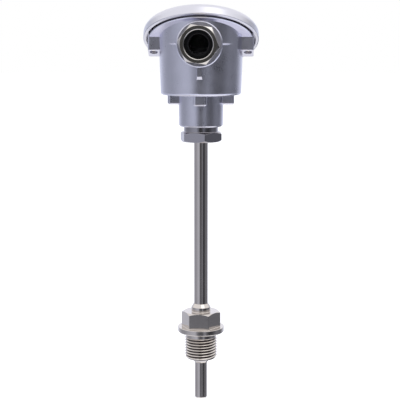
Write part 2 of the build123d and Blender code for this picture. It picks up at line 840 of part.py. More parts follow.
# Metal sheath of the insert, down to the tip of the protection tube.
sheath_bottom = -insertion_length + protection_tube_end + tip_gap
sheath_top = plate_top + sheath_rise
with BuildPart() as insert_sheath:
    round_bar(Plane.XY, sheath_radius, sheath_bottom, sheath_top)
    round_bar(Plane.XY, sheath_radius - sheath_wall, sheath_bottom + sheath_end, sheath_top, Mode.SUBTRACT)
insert_sheath.part.label = "insert_sheath"
export_step(insert_sheath.part, "parts/insert_sheath.step")

# Sensing element in the tip, and the insulating core with four bores above it.
element_bottom = sheath_bottom + sheath_end
element_top = element_bottom + element_length
with BuildPart() as sensing_element:
    round_bar(Plane.XY, element_radius, element_bottom, element_top)
sensing_element.part.label = "sensing_element"
export_step(sensing_element.part, "parts/sensing_element.step")

lead_bores = [
    (core_bore_offset, core_bore_offset),
    (-core_bore_offset, core_bore_offset),
    (-core_bore_offset, -core_bore_offset),
    (core_bore_offset, -core_bore_offset),
]
with BuildPart() as insulating_core:
    with BuildSketch(Plane.XY.offset(element_top)):
        Circle(core_radius)
        with Locations(*lead_bores):
            Circle(lead_radius + thread_clearance, mode=Mode.SUBTRACT)
    extrude(amount=sheath_top - element_top)
insulating_core.part.label = "insulating_core"
export_step(insulating_core.part, "parts/insulating_core.step")

# Leads from the element up through the core and over into the terminals.
lead_turn_y = terminal_y - terminal_length / 2 - lead_radius
for number, (bore, place) in enumerate(zip(lead_bores, terminal_places), 1):
    sign = 1 if place[1] > 0 else -1
    with BuildPart() as lead_wire:
        with BuildLine() as lead_route:
            FilletPolyline(
                (bore[0], bore[1], element_top),
                (bore[0], bore[1], lead_level),
                (place[0], sign * lead_turn_y, lead_level),
                (place[0], sign * terminal_y, lead_level),
                radius=lead_bend_radius,
            )
        with BuildSketch(Plane.XY.offset(element_top)):
            with Locations(bore):
                Circle(lead_radius)
        sweep(path=lead_route.wires()[0])
    lead_wire.part.label = f"lead_wire_{number}"
    export_step(lead_wire.part, f"parts/lead_wire_{number}.step")

# Sprung screws that hold the insert down.
spring_bottom = plate_top + weld_clearance
spring_top = spring_bottom + insert_spring_length
for side_name, side in (("left", -1), ("right", 1)):
    screw_seat = Plane(origin=(side * insert_screw_offset, 0, spring_top + weld_clearance))
    with BuildPart() as insert_screw:
        slotted_screw(
            screw_seat,
            insert_screw_radius,
            screw_seat.origin.Z - insert_seat + insert_screw_grip,
            insert_screw_head_radius,
            insert_screw_head_height,
            slot_turn=-20.0 * side,
        )
    insert_screw.part.label = f"insert_screw_{side_name}"
    export_step(insert_screw.part, f"parts/insert_screw_{side_name}.step")

    spring_height = insert_spring_length - 2 * spring_wire_radius
    spring_base = Plane(origin=(side * insert_screw_offset, 0, spring_bottom + spring_wire_radius))
    with BuildPart() as insert_spring:
        with BuildLine(spring_base) as coil:
            Helix(pitch=spring_height / spring_turns, height=spring_height, radius=spring_coil_radius)
        with BuildSketch(Plane(origin=coil.line @ 0, z_dir=coil.line % 0)):
            RegularPolygon(radius=spring_wire_radius, side_count=spring_wire_sides)
        sweep(path=coil.line, is_frenet=True)
    insert_spring.part.label = f"insert_spring_{side_name}"
    export_step(insert_spring.part, f"parts/insert_spring_{side_name}.step")

# Earth screw and its clamping washer.
with BuildPart() as earth_washer:
    with BuildSketch(Plane.XY.offset(earth_lug_top)):
        with Locations((earth_x, earth_y)):
            Circle(earth_washer_radius)
            Circle(earth_screw_radius + turning_clearance, mode=Mode.SUBTRACT)
    extrude(amount=earth_washer_thickness)
earth_washer.part.label = "earth_washer"
export_step(earth_washer.part, "parts/earth_washer.step")

with BuildPart() as earth_screw:
    slotted_screw(
        Plane(origin=(earth_x, earth_y, earth_lug_top + earth_washer_thickness + seat_gap)),
        earth_screw_radius,
        earth_screw_length + earth_washer_thickness,
        earth_screw_head_radius,
        earth_screw_head_height,
        slot_turn=60.0,
    )
earth_screw.part.label = "earth_screw"
export_step(earth_screw.part, "parts/earth_screw.step")
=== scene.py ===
import json
from math import atan2, cos, pi, radians, sin

import bmesh
import bpy
import numpy as np
from bpy.props import FloatProperty, FloatVectorProperty, PointerProperty
from bpy.types import Operator, Panel, PropertyGroup
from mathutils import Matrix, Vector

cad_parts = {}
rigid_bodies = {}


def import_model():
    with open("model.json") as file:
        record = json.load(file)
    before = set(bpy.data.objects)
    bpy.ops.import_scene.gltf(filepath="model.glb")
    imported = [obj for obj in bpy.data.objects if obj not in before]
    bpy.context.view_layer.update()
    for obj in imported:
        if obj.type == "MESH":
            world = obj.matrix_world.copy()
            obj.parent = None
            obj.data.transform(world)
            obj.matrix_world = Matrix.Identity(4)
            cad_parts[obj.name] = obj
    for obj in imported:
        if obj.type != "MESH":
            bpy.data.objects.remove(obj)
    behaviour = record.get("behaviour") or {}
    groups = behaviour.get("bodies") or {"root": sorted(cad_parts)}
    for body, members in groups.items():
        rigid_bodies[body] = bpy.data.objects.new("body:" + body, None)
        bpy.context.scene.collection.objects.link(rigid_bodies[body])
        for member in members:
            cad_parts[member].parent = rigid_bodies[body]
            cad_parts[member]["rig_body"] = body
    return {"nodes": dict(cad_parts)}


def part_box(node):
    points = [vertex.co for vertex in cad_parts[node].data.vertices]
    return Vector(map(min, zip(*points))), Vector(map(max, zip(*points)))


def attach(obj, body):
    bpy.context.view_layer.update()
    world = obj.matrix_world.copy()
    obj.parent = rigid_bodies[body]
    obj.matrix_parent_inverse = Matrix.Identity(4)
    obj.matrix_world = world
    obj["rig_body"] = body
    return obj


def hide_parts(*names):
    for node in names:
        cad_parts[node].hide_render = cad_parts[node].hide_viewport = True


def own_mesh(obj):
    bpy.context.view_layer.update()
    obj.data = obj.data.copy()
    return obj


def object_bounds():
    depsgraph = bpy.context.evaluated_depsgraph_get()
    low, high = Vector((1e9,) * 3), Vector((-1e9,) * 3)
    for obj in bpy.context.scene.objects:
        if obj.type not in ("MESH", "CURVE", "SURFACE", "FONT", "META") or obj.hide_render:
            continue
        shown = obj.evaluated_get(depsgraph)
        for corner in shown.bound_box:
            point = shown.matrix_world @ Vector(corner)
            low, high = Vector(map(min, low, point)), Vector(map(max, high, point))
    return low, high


bl_info = {
    "name": "Screw-in temperature sensor",
    "version": (1, 0, 0),
    "blender": (4, 5, 0),
    "location": "3D Viewport > Sidebar > Sensor",
    "description": "Adds turned pieces, finishes, light and camera of a screw-in temperature sensor",
    "category": "Add Mesh",
}

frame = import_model()
NODES = frame["nodes"]
CAD_BOX = [list(corner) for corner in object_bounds()]

# Points in each rounded corner, and the distance of one more point on either side of it.
ARC_STEPS = 5
SUPPORT = 0.00012
# Most of a side that a rounding takes up, and most of it between the rounding and that point.
ROUNDING_SHARE = 0.4
SUPPORT_SHARE = 0.08
WELD_DISTANCE = 1e-6
SHARP_ANGLE = radians(32)
HEXAGON_CHAMFER = radians(30)
# Depth of a screw's thread as a share of its pitch.
SCREW_THREAD_DEPTH = 0.61


def length(name, description, default):
    """Return a length property in metres."""
    return FloatProperty(
        name=name, description=description, default=default, min=0.0, unit="LENGTH", precision=5
    )


def angle(name, description, degrees):
    """Return an angle property whose default is given in degrees."""
    return FloatProperty(name=name, description=description, default=radians(degrees), unit="ROTATION")


def position(name, description, default):
    """Return a position property in metres."""
    return FloatVectorProperty(
        name=name, description=description, default=default, subtype="TRANSLATION", unit="LENGTH"
    )


def colour(name, description, default):
    """Return a colour property."""
    return FloatVectorProperty(
        name=name, description=description, default=default, subtype="COLOR", size=3, min=0.0, max=1.0
    )


class SeamSizes(PropertyGroup):
    """Sizes of the mould seam on the bowl, on both sides of the gland and level with its axis."""

    wall_radius: length("Wall radius", "Radius of the bowl at the seam", 0.02634)
    proud: length("Seam relief", "How far the seam stands out of the bowl", 0.00075)
    half_height: length("Seam half height", "Half the height of the seam", 0.0006)
    start: angle("Seam start", "Angle from the gland at which the seam starts", 31)
    reach: angle("Seam length", "Angle that the seam spans", 18)


class FittingSizes(PropertyGroup):
    """Sizes of the process fitting, counted from the sealing face of its collar."""

    thread_diameter: length("Thread diameter", "Outer diameter of the pipe thread", 0.020955)
    thread_pitch: length("Thread pitch", "Rise of the pipe thread in one turn", 0.001814)
    thread_depth: length("Thread depth", "Depth of the pipe thread", 0.001162)
    thread_length: length("Thread length", "Length from the sealing face to the thread's end", 0.0177)
    thread_chamfer: length("Thread chamfer", "How far the end of the thread is turned down", 0.0015)
    relief_diameter: length("Neck diameter", "Diameter of the neck under the collar", 0.0200)
    relief_width: length("Neck width", "Width of the plain neck under the collar", 0.0033)
    collar_diameter: length("Collar diameter", "Diameter of the sealing collar", 0.030)
    collar_thickness: length("Collar thickness", "Thickness of the sealing collar", 0.0034)
    collar_chamfer: length("Collar chamfer", "Chamfer at the lower edge of the collar", 0.0005)
    hex_flats: length("Hexagon width", "Width across the flats of the hexagon", 0.022)
    hex_height: length("Hexagon height", "Height of the hexagon", 0.010)
    hex_turn: angle("Hexagon turn", "Turn of the hexagon about the axis", -5.3)
    spigot_diameter: length("Spigot diameter", "Diameter of the socket for the neck tube", 0.0124)
    spigot_height: length("Spigot height", "Height of the straight part of the socket", 0.0029)
    upper_weld_height: length("Upper weld height", "Height of the weld seam at the neck tube", 0.0025)
    lower_weld_height: length("Lower weld height", "Height of the weld seam at the stem", 0.0031)
    lower_weld_radius: length("Lower weld radius", "Outer radius of the weld seam at the stem", 0.0053)
    neck_bore: length("Neck tube bore", "Radius of the bore for the neck tube", 0.00452)
    stem_bore: length("Stem bore", "Radius of the bore for the stem", 0.00402)
    stop_radius: length("Stop radius", "Radius of the passage between both tubes", 0.0034)
    stop_height: length("Stop height", "Height of the stop between both tubes", 0.003)


class NippleSizes(PropertyGroup):
    """Sizes of the neck nipple under the head."""

    hex_bottom: length("Hexagon level", "Height of the underside of the hexagon", 0.124)
    hex_flats: length("Hexagon width", "Width across the flats of the hexagon", 0.024)
    hex_height: length("Hexagon height", "Height of the hexagon", 0.0061)
    hex_turn: angle("Hexagon turn", "Turn of the hexagon about the axis", -17.8)
    groove_diameter: length("Groove diameter", "Diameter of the groove under the head", 0.0217)
    groove_height: length("Groove height", "Height of the groove under the head", 0.0035)
    thread_diameter: length("Thread diameter", "Outer diameter of the metric thread", 0.0239)
    thread_pitch: length("Thread pitch", "Rise of the metric thread in one turn", 0.0015)
    thread_depth: length("Thread depth", "Depth of the metric thread", 0.00092)
    thread_length: length("Thread length", "Length of the metric thread", 0.0124)
    bore: length("Bore", "Radius of the bore for the neck tube", 0.00452)


class GlandSizes(PropertyGroup):
    """Sizes of the cable gland, counted from the axis of the head along the gland."""

    level: length("Gland level", "Height of the axis of the gland", 0.1854)
    hex_flats: length("Hexagon width", "Width across the flats of both hexagons", 0.022)
    hex_turn: angle("Hexagon turn", "Turn of both hexagons about the axis of the gland", -8.4)
    body_start: length("Inner end", "Distance of the inner end of the threaded shank", 0.0205)
    body_seat: length("Body seat", "Distance of the face that lies on the washer", 0.0305)
    body_hex_height: length("Body hexagon", "Height of the hexagon of the body", 0.0045)
    front_radius: length("Front radius", "Radius of the front thread under the nut", 0.009)
    front_length: length("Front length", "Length of the front thread", 0.007)
    shank_diameter: length("Shank diameter", "Outer diameter of the entry thread", 0.0199)
    shank_pitch: length("Shank pitch", "Rise of the entry thread in one turn", 0.0015)
    shank_depth: length("Shank depth", "Depth of the entry thread", 0.00092)
    bore: length("Bore", "Radius of the passage for the cable", 0.0064)
    pocket_radius: length("Seal pocket radius", "Radius of the pocket for the rubber seal", 0.00752)
    pocket_depth: length("Seal pocket depth", "Depth of the pocket for the rubber seal", 0.0049)
    nut_gap: length("Nut gap", "Gap between body and nut", 0.0004)
    nut_height: length("Nut height", "Height of the nut", 0.0112)
    mouth_radius: length("Mouth radius", "Radius of the mouth of the nut", 0.0085)
    mouth_edge: length("Mouth edge", "Radius of the rounded edge of the mouth", 0.0006)
    mouth_depth: length("Mouth depth", "Distance from the front face to the thrust ring", 0.0029)
    nut_bore: length("Nut bore", "Radius of the threaded bore of the nut", 0.00905)


class ScrewSizes(PropertyGroup):
    """Places of the slotted screws, and the sizes that all of them share."""

    slot_width: length("Slot width", "Width of the slot in the screw heads", 0.001)
    slot_share: FloatProperty(
        name="Slot depth", description="Share of the head's height", default=0.5, subtype="FACTOR"
    )
    edge: length("Head edge", "Size of the broken edge of the screw heads", 0.00015)
    slant: angle("Cover slant", "How far the cover leans forward", 26.5)
    rim_level: length("Rim level", "Height at which the rim's plane cuts the axis", 0.1865)
    cover_rise: length("Cover screw rise", "Distance of their seats from the rim's plane", 0.0065)
    cover_offset: length("Cover screw offset", "Distance from the middle of the cover", 0.0295)
    insert_offset: length("Insert screw offset", "Distance from the axis, of the springs too", 0.0165)
    insert_level: length("Insert screw level", "Height of their seats", 0.17504)
    terminal_x: length("Terminal x", "Distance from the axis to the side", 0.006)
    terminal_y: length("Terminal y", "Distance from the axis to the front and back", 0.010)
    terminal_level: length("Terminal level", "Height of the terminal screws' seats", 0.1721)
    earth_distance: length("Earth screw distance", "Distance from the axis", 0.0185)
    earth_angle: angle("Earth screw angle", "Angle about the axis", 30)
    earth_level: length("Earth screw level", "Height of its seat", 0.1764)


class SpringSizes(PropertyGroup):
    """Sizes of the two springs of the measuring insert."""

    wire_radius: length("Wire radius", "Radius of the spring wire", 0.00035)
    coil_radius: length("Coil radius", "Radius of the coil at the middle of the wire", 0.0029)
    height: length("Height", "Height of the spring at rest", 0.013)
    turns: FloatProperty(
        name="Turns", description="Number of turns with the flat ends", default=6.5, min=2.0
    )
    travel: length("Travel", "How far the insert can push the spring together", 0.008)


class FinishColours(PropertyGroup):
    """Base colour of each finish."""

    casting: colour("Casting", "Blasted cast aluminium of the head", (0.79, 0.785, 0.865))
    # Painted light: the cover's colour is a paler copy of the casting's, for the stronger light from
    # above.
    cover: colour("Cover", "Blasted cast aluminium of the cover", (0.82, 0.815, 0.865))
    steel: colour("Steel", "Stainless steel of tubes and fitting", (0.78, 0.725, 0.67))
    # Painted shade: the nipple's stainless steel, darkened for the dark reflections it shows.
    shaded_steel: colour("Dark steel", "Stainless steel of the nipple", (0.48, 0.46, 0.48))
    plating: colour("Plating", "Nickel plating of the gland", (0.76, 0.72, 0.67))
    rubber: colour("Rubber", "Black rubber of seal and gasket", (0.018, 0.018, 0.02))
    plastic: colour("Plastic", "Black plastic of the thrust ring", (0.006, 0.006, 0.007))
    ceramic: colour("Ceramic", "Glazed ceramic of the terminal block", (0.78, 0.76, 0.70))
    brass: colour("Brass", "Plain brass of the terminals", (0.80, 0.60, 0.28))
    zinc: colour("Zinc", "Zinc plated steel of screws and washer", (0.66, 0.68, 0.70))
    spring: colour("Spring", "Spring wire", (0.50, 0.50, 0.51))
    lead: colour("Lead", "Nickel leads", (0.70, 0.67, 0.61))


class StageSettings(PropertyGroup):
    """Camera, floor and lamp."""

    camera_place: position("Camera place", "Place of the camera", (0.0247, -0.7076, 0.192))
    camera_pitch: angle("Camera pitch", "How far the camera looks down", 8.5)
    camera_turn: angle("Camera turn", "How far the camera is turned to the left", 2.05)
    lens: FloatProperty(
        name="Lens", description="Focal length of the camera", default=100.53, unit="CAMERA"
    )
    floor_radius: length("Floor radius", "Radius of the round floor", 6.0)
    floor_colour: colour("Floor colour", "Colour of the floor", (0.92, 0.92, 0.92))
    lamp_place: position("Lamp place", "Place of the soft lamp", (0.35, -0.45, 0.95))
    lamp_tilt: angle("Lamp tilt", "How far the lamp leans away from straight down", 32)
    lamp_turn: angle("Lamp turn", "Turn of the lamp about the vertical", 38)
    lamp_size: length("Lamp size", "Diameter of the soft lamp", 0.7)
    lamp_power: FloatProperty(
        name="Lamp power", description="Power of the soft lamp", default=0.75, unit="POWER"
    )


def plane(origin, axis):
    """Return a plane as four rows: its origin, the x axis, the direction square to both, its axis."""
    across = np.array([1.0, 0.0, 0.0])
    return np.array([origin, across, np.cross(axis, across), axis], float)


def place(points, base):
    """Carry local points to the frame: origin + x * across + y * up + z * axis."""
    return points @ base[1:] + base[0]


def round_angles(segments):
    """Return even angles from 0 to a full turn, with both ends."""
    return np.linspace(0.0, 2 * pi, segments + 1)


def hexagon_angles(turn):
    """Return angles that are close together at the six corners and go from one to itself."""
    half = np.radians([0.28, 0.55, 0.82, 1.15, 2.6, 5.0, 9.0, 14.0, 19.0, 24.5])
    around = np.concatenate([[0.0], half, [radians(30)], radians(60) - half[::-1]])
    corners = turn + np.radians(np.arange(6) * 60.0)
    return np.append((corners[:, None] + around).ravel(), turn + 2 * pi)


def hexagon_radius(angles, flats, turn, edge=0.00035):
    """Return the radius of a hexagon with rounded corners at each angle.

    A flat lies at half the width divided by the cosine of the angle from its middle. At a corner
    the radius runs on a circle of the edge's size, whose centre lies on the corner's line.
    """
    to_corner = (angles - turn + radians(30)) % radians(60) - radians(30)
    flat = flats / 2 / np.cos(radians(30) - np.abs(to_corner))
    centre = (flats / 2 - edge) / cos(radians(30))
    limit = atan2(edge * sin(radians(30)), centre + edge * cos(radians(30)))
    across = centre * np.sin(to_corner)
    corner = centre * np.cos(to_corner) + np.sqrt(np.maximum(edge**2 - across**2, 0.0))
    return np.where(np.abs(to_corner) < limit, corner, flat)


def hexagon_corners(size, angles, low, high):
    """Return the outline's corners for a hexagon that is chamfered at both faces.

    At each angle a face is turned down by (radius - half the width) * tangent of the chamfer.
    """
    inner = size.hex_flats / 2
    hexagon = hexagon_radius(angles, size.hex_flats, size.hex_turn)
    drop = (hexagon - inner) * np.tan(HEXAGON_CHAMFER)
    lower = [(inner, low, 0.0001), (hexagon, low + drop, 0.0002)]
    return lower + [(hexagon, high - drop, 0.0002), (inner, high, 0.0001)]


def rounded(corners, radii):
    """Round the corners of closed outlines.

    Each corner becomes the curve ((1-t)^2 start + 2 w t (1-t) corner + t^2 end) over the same sum
    without the points, where w is the sine of half the corner's angle, which is an arc of a circle.
    One more point outside each end of the arc keeps the sides straight in the shading.
    """
    before = np.roll(corners, 1, axis=1) - corners
    after = np.roll(corners, -1, axis=1) - corners
    before_length = np.maximum(np.linalg.norm(before, axis=-1, keepdims=True), 1e-9)
    after_length = np.maximum(np.linalg.norm(after, axis=-1, keepdims=True), 1e-9)
    before, after = before / before_length, after / after_length
    half = np.arccos(np.clip((before * after).sum(-1, keepdims=True), -1, 1)) / 2
    reach = np.asarray(radii, float)[:, None] / np.maximum(np.tan(half), 1e-6)
    reach = np.minimum(reach, ROUNDING_SHARE * np.minimum(before_length, after_length))
    start, end = corners + before * reach, corners + after * reach
    t = np.linspace(0, 1, ARC_STEPS)[:, None]
    weight = np.sin(half)[..., None]
    share = (1 - t) ** 2, 2 * weight * t * (1 - t), t**2
    arc = share[0] * start[:, :, None] + share[1] * corners[:, :, None] + share[2] * end[:, :, None]
    arc = arc / (share[0] + share[1] + share[2])
    first = start + before * np.minimum(SUPPORT, SUPPORT_SHARE * before_length)
    last = end + after * np.minimum(SUPPORT, SUPPORT_SHARE * after_length)
    rows = np.concatenate([first[:, :, None], arc, last[:, :, None]], axis=2)
    return rows.reshape(len(corners), -1, 2)


def outline(corners, angles):
    """Return a closed outline, rounded, for every angle.

    A corner is a radius, a height and a rounding. The first two are one number or one per angle.
    """
    whole = np.ones_like(angles)
    columns = [np.stack([radius * whole, height * whole], axis=-1) for radius, height, _ in corners]
    return rounded(np.stack(columns, axis=1), [rounding for *_, rounding in corners])


def turned(profile, angles):
    """Carry outlines round the axis: x = radius cos(angle), y = radius sin(angle), z = height."""
    radius, height = profile[..., 0], profile[..., 1]
    across, up = np.cos(angles)[:, None], np.sin(angles)[:, None]
    return np.stack([radius * across, radius * up, height], axis=-1)


def threaded(
    corners, angles, corner, radius, depth, pitch, start, end, start_radius, end_radius, per_turn=12
):
    """Return a turned piece with a right-hand thread after the given corner of its outline.

    A row follows the height row + pitch * angle / full turn, held between start and end. Its radius
    is a triangular wave with round crests, two over pi times arcsin(0.95 sin(full turn * row /
    pitch)), cut at each end by a cone of 45 degrees that starts with the radius given for that end.
    """
    rows = np.arange(start - pitch, end + pitch / per_turn, pitch / per_turn)
    heights = np.clip(rows + pitch * (angles - angles[0])[:, None] / (2 * pi), start, end)
    wave = 2 / pi * np.arcsin(0.95 * np.sin(2 * pi * rows / pitch))
    radii = radius - depth / 2 * (1 - wave) + 0 * heights
    radii = np.minimum(radii, start_radius + heights - start)
    radii = np.minimum(radii, end_radius + end - heights)
    thread = np.stack([radii, heights], axis=-1)
    profile = outline(corners, angles)
    cut = (corner + 1) * (ARC_STEPS + 2)
    return turned(np.concatenate([profile[:, :cut], thread, profile[:, cut:]], axis=1), angles)


def lobe(radius, half_slot, low, high, edge, side, arc_points=33, chord_points=7):
    """Return one half of a slotted head as stacked outlines of a circle cut by a straight line."""
    start = np.arcsin(half_slot / radius)
    arc = np.linspace(start, pi - start, arc_points)
    chord = np.linspace(-1, 1, chord_points + 2)[1:-1] * radius * cos(start)
    round_side = np.stack([radius * np.cos(arc), radius * np.sin(arc)], axis=-1)
    straight_side = np.stack([chord, np.full_like(chord, half_slot)], axis=-1)
    loop = np.concatenate([round_side, straight_side])
    middle = np.array([0.0, (radius + half_slot) / 2])
    inset = middle + (loop - middle) * (1 - 2 * edge / radius)
    stack = ((middle, low), (loop, low), (loop, high - edge), (inset, high), (middle, high))
    rows = [np.insert(np.broadcast_to(ring, loop.shape), 2, level, axis=1) for ring, level in stack]
    return np.array(rows) * (side, side, 1.0)


def surface(points):
    """Return corners and faces of a grid whose rows run along the piece and whose columns close up."""
    rows, columns = points.shape[:2]
    index = np.arange(rows * columns).reshape(rows, columns)
    index = np.concatenate([index, index[:, :1]], axis=1)
    faces = np.stack([index[:-1, :-1], index[1:, :-1], index[1:, 1:], index[:-1, 1:]], axis=-1)
    return points.reshape(-1, 3), faces.reshape(-1, 4)


def add_object(name, data):
    """Add an object to the scene."""
    thing = bpy.data.objects.new(name, data)
    bpy.context.scene.collection.objects.link(thing)
    return thing


def make_piece(name, grids, node, material, in_place=True):
    """Make one mesh object from grids of points, welded and with its faces outwards.

    It rides with the node's body, and stands in place of the node unless in_place is False.
    """
    parts = [surface(points) for points in grids]
    starts = np.cumsum([0] + [len(points) for points, _ in parts[:-1]])
    corners = np.concatenate([points for points, _ in parts])
    faces = np.concatenate([quads + start for (_, quads), start in zip(parts, starts)])
    mesh = bpy.data.meshes.new(name)
    mesh.from_pydata(corners.tolist(), [], faces.tolist())
    work = bmesh.new()
    work.from_mesh(mesh)
    bmesh.ops.remove_doubles(work, verts=work.verts, dist=WELD_DISTANCE)
    bmesh.ops.dissolve_degenerate(work, dist=WELD_DISTANCE / 10, edges=work.edges)
    loose = [edge for edge in work.edges if not edge.link_faces]
    bmesh.ops.delete(work, geom=loose, context="EDGES")
    bmesh.ops.recalc_face_normals(work, faces=work.faces)
    work.to_mesh(mesh)
    work.free()
    mesh.shade_smooth()
    mesh.set_sharp_from_angle(angle=SHARP_ANGLE)
    mesh.materials.append(material)
    piece = add_object(name, mesh)
    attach(piece, NODES[node]["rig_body"])
    if in_place:
        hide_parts(node)
    return piece


def mark_grooves(piece, radius, depth, low, high):
    """Store how deep each point lies under a thread's crests, as a share of the thread's depth.

    The share is (crest radius - distance from the upright axis) / depth, and 0 outside both heights.
    The finish paints shade into the thread's roots by it.
    """
    vertices = piece.data.vertices
    places = np.empty(3 * len(vertices), np.float32)
    vertices.foreach_get("co", places)
    places = places.reshape(-1, 3)
    share = (radius - np.hypot(places[:, 0], places[:, 1])) / depth
    inside = (places[:, 2] > low) & (places[:, 2] < high)
    attribute = piece.data.attributes.new("groove", "FLOAT", "POINT")
    attribute.data.foreach_set("value", np.where(inside, share, 0.0).astype(np.float32))


def feed(node, inputs):
    """Set a shader node's inputs, or link those that are given as sockets."""
    for key, value in inputs.items():
        if isinstance(value, bpy.types.NodeSocket):
            node.id_data.links.new(value, node.inputs[key])
        else:
            node.inputs[key].default_value = value


def add_node(tree, kind, inputs, **settings):
    """Add a shader node, set its options, and set or link its inputs."""
    node = tree.nodes.new(kind)
    for key, value in settings.items():
        setattr(node, key, value)
    feed(node, inputs)
    return node


def add_math(tree, operation, *values):
    """Add a math node on values or sockets, and return its result."""
    return add_node(tree, "ShaderNodeMath", dict(enumerate(values)), operation=operation).outputs[0]


def add_step(tree, value, low, high, start=0.0, end=1.0):
    """Add a smooth step, which goes from start to end while the value goes from low to high."""
    inputs = {"Value": value, "From Min": low, "From Max": high, "To Min": start, "To Max": end}
    return add_node(tree, "ShaderNodeMapRange", inputs, interpolation_type="SMOOTHSTEP").outputs[0]


def add_noise(tree, vector, scale, detail=3.0, roughness=0.5):
    """Add a noise of the given scale per metre, and return its value."""
    inputs = {"Vector": vector, "Scale": scale, "Detail": detail, "Roughness": roughness}
    return add_node(tree, "ShaderNodeTexNoise", inputs).outputs["Fac"]


def start_group(name, own):
    """Start a shader node group with its own inputs besides those that every finish shares.

    Each input's kind follows from how many numbers its default has.
    """
    group = bpy.data.node_groups.new(name, "ShaderNodeTree")
    shared = {"colour": (1.0, 1.0, 1.0, 1.0), "tone": 0.1, "roughness": 0.3, "spread": 0.1}
    kinds = {1: "NodeSocketFloat", 3: "NodeSocketVector", 4: "NodeSocketColor"}
    add_socket = group.interface.new_socket
    for key, default in (own | shared).items():
        socket = add_socket(name=key, in_out="INPUT", socket_type=kinds[np.size(default)])
        socket.default_value = default
    for key, size in (("colour", 4), ("roughness", 1), ("height", 1)):
        add_socket(name=key, in_out="OUTPUT", socket_type=kinds[size])
    return group


def end_group(group, given, fine, patches, shade, height):
    """Link a group's outputs and return it.

    Both noises, less their common mean, vary the colour by the tone and the roughness by the
    spread. The shade is one more factor on the colour: painted shade, such as in a thread's roots.
    """
    centred = add_math(group, "SUBTRACT", add_math(group, "ADD", fine, patches), 1.0)
    tone = add_math(group, "MULTIPLY_ADD", centred, given["tone"], 1.0)
    scale = {0: given["colour"], "Scale": add_math(group, "MULTIPLY", tone, shade)}
    painted = add_node(group, "ShaderNodeVectorMath", scale, operation="SCALE").outputs[0]
    rough = add_math(group, "MULTIPLY_ADD", centred, given["spread"], given["roughness"])
    add_node(group, "NodeGroupOutput", {"colour": painted, "roughness": rough, "height": height})
    return group


def streak_group():
    """Return the group for turned or drawn metal: noise that is stretched along fine lines.

    Its lines are counted across a metre, and its stretch squeezes the axes along them. As painted
    shade in a thread's roots, the colour darkens where the thread's groove attribute is high.
    """
    name = "fine_lines"
    if name in bpy.data.node_groups:
        return bpy.data.node_groups[name]
    group = start_group(name, {"stretch": (1.0, 1.0, 0.02), "lines": 4000.0})
    given = group.nodes.new("NodeGroupInput").outputs
    spot = group.nodes.new("ShaderNodeTexCoord").outputs["Object"]
    stretch = {0: spot, 1: given["stretch"]}
    stretched = add_node(group, "ShaderNodeVectorMath", stretch, operation="MULTIPLY").outputs[0]
    lines = add_noise(group, stretched, given["lines"], roughness=0.6)
    patches = add_noise(group, spot, 70.0, detail=2.0)
    groove = add_node(group, "ShaderNodeAttribute", {}, attribute_name="groove").outputs["Fac"]
    # Painted shade: deep in a thread's roots the colour falls to 0.18 of itself.
    shade = add_step(group, groove, 0.35, 0.8, start=1.0, end=0.18)
    return end_group(group, given, lines, patches, shade, lines)


def grain_group():
    """Return the group for a casting, rubber or glaze: fine grain over wide soft patches.

    Its grains and patches are counted across a metre, and its patch height is the share of the
    patches in the relief.
    """
    name = "grainy_skin"
    if name in bpy.data.node_groups:
        return bpy.data.node_groups[name]
    group = start_group(name, {"grains": 2600.0, "patches": 120.0, "patch height": 0.5})
    given = group.nodes.new("NodeGroupInput").outputs
    spot = group.nodes.new("ShaderNodeTexCoord").outputs["Object"]
    grain = add_noise(group, spot, given["grains"], roughness=0.65)
    patches = add_noise(group, spot, given["patches"])
    height = add_math(group, "MULTIPLY_ADD", patches, given["patch height"], grain)
    return end_group(group, given, grain, patches, 1.0, height)


def start_material(name):
    """Start a material and return it with its nodes and its shader."""
    material = bpy.data.materials.new(name)
    material.use_nodes = True
    tree = material.node_tree
    return material, tree, tree.nodes["Principled BSDF"]


def finish(name, tint, group, values, bump, metallic=1.0, coat=0.0, gloss=0.5):
    """Return the finish of that name, or make it from a group with a relief of bump metres.

    The tint is the name of one of the finish colours, and the values are the group's inputs.
    """
    if name in bpy.data.materials:
        return bpy.data.materials[name]
    material, tree, shader = start_material(name)
    base = (*getattr(bpy.context.scene.sensor_colours, tint), 1.0)
    skin = add_node(tree, "ShaderNodeGroup", {"colour": base, **values}, node_tree=group).outputs
    relief = add_node(tree, "ShaderNodeBump", {"Height": skin["height"], "Distance": bump})
    feed(shader, {
        "Base Color": skin["colour"],
        "Roughness": skin["roughness"],
        "Normal": relief.outputs["Normal"],
        "Metallic": metallic,
        "Coat Weight": coat,
        "Specular IOR Level": gloss,
    })
    return material


# Stretch of lines along the upright axis or round one of the axes.
ALONG_Z = (1.0, 1.0, 0.02)
ROUND_Z = (0.02, 0.02, 1.0)
ROUND_Y = (0.02, 1.0, 0.02)
# Values that more than one finish shares.
BLASTED = {"grains": 2600.0, "patches": 110.0, "spread": 0.12}
TURNED = {"stretch": ROUND_Z, "lines": 5200.0, "spread": 0.12, "tone": 0.10}
WIRE = {"stretch": ALONG_Z, "lines": 5000.0, "spread": 0.12, "tone": 0.12}


def cast_aluminium():
    """Blasted cast aluminium of the head."""
    values = BLASTED | {"roughness": 0.30, "tone": 0.12}
    return finish("cast_aluminium_head", "casting", grain_group(), values, bump=0.00002)


def lit_cover_aluminium():
    """Blasted cast aluminium of the cover, paler than the head's as painted light from above."""
    values = BLASTED | {"roughness": 0.34, "tone": 0.10}
    return finish("cast_aluminium_cover_painted_lit", "cover", grain_group(), values, bump=0.00002)


def turned_steel():
    """Stainless steel turned on a lathe."""
    values = TURNED | {"roughness": 0.13}
    return finish("stainless_turned", "steel", streak_group(), values, bump=0.000002)


